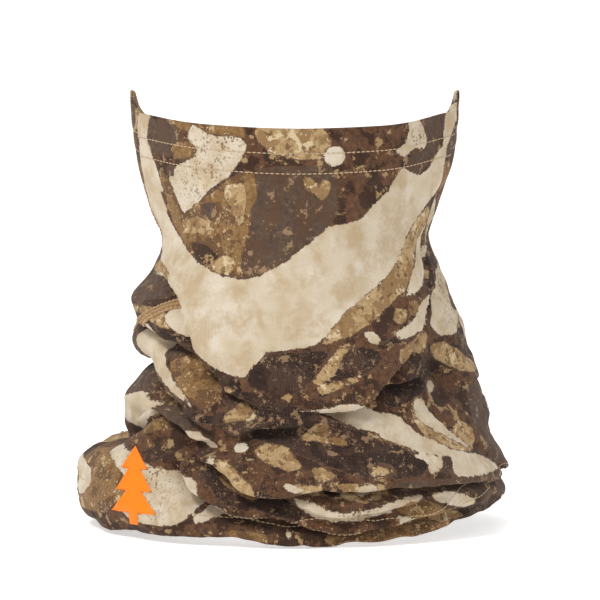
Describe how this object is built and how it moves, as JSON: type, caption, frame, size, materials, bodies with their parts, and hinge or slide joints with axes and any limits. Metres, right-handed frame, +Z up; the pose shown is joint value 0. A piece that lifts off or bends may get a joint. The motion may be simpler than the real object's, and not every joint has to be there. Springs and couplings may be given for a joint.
{
  "type": "neck gaiter",
  "caption": "Tube of camouflage-printed knit cloth worn over the nose, chin and neck, with turned hems, bunched folds below the chin and a flared lower edge",
  "frame": {"origin": "Centre of the neck passage, at the narrow waist of the tube under the jaw", "axes": "+Z up, -Y the front of the face, +X to the right of someone who faces the front"},
  "size_m": [0.219, 0.221, 0.2199],
  "materials": {
    "printed_knit": "matt brushed knit with a printed camouflage of cream, tan, olive brown and charcoal",
    "sewing_thread": "matt spun polyester thread",
    "seam_thread": "matt textured thread",
    "transfer_film": "satin heat-transfer film",
    "label_tape": "woven satin tape"
  },
  "bodies": {
    "root": {"tube_panel": "printed_knit", "top_hem_turnback": "printed_knit", "bottom_hem_turnback": "printed_knit", "top_hem_needle_thread_outer": "sewing_thread", "top_hem_needle_thread_inner": "sewing_thread", "top_hem_looper_thread": "sewing_thread", "bottom_hem_needle_thread_outer": "sewing_thread", "bottom_hem_needle_thread_inner": "sewing_thread", "bottom_hem_looper_thread": "sewing_thread", "side_seam_cover_thread": "seam_thread", "side_seam_looper_thread": "seam_thread", "transfer_mark": "transfer_film", "care_label": "label_tape"}
  },
  "joints": []
}
